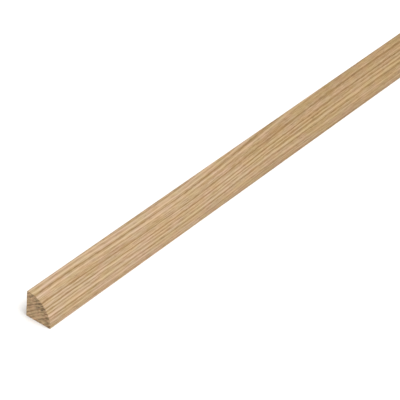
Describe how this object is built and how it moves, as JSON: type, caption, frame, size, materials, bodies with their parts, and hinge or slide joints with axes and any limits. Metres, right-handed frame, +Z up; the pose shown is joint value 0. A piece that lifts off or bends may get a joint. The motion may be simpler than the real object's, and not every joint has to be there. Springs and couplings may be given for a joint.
{
  "type": "quarter round moulding",
  "caption": "Short stick of bare oak quarter round moulding, with two flat faces at a right angle, a planed round between narrow lands, and square-sawn ends.",
  "frame": {"origin": "centre of the footprint, on the level that the stick lies on", "axes": "+X along the length and away from the end that the picture shows, +Y out of the upright back face, +Z up"},
  "size_m": [0.9, 0.018, 0.018],
  "materials": {
    "bare_oak": "planed and sanded, bare"
  },
  "bodies": {
    "root": {"quarter_round_moulding": "bare_oak"}
  },
  "joints": []
}
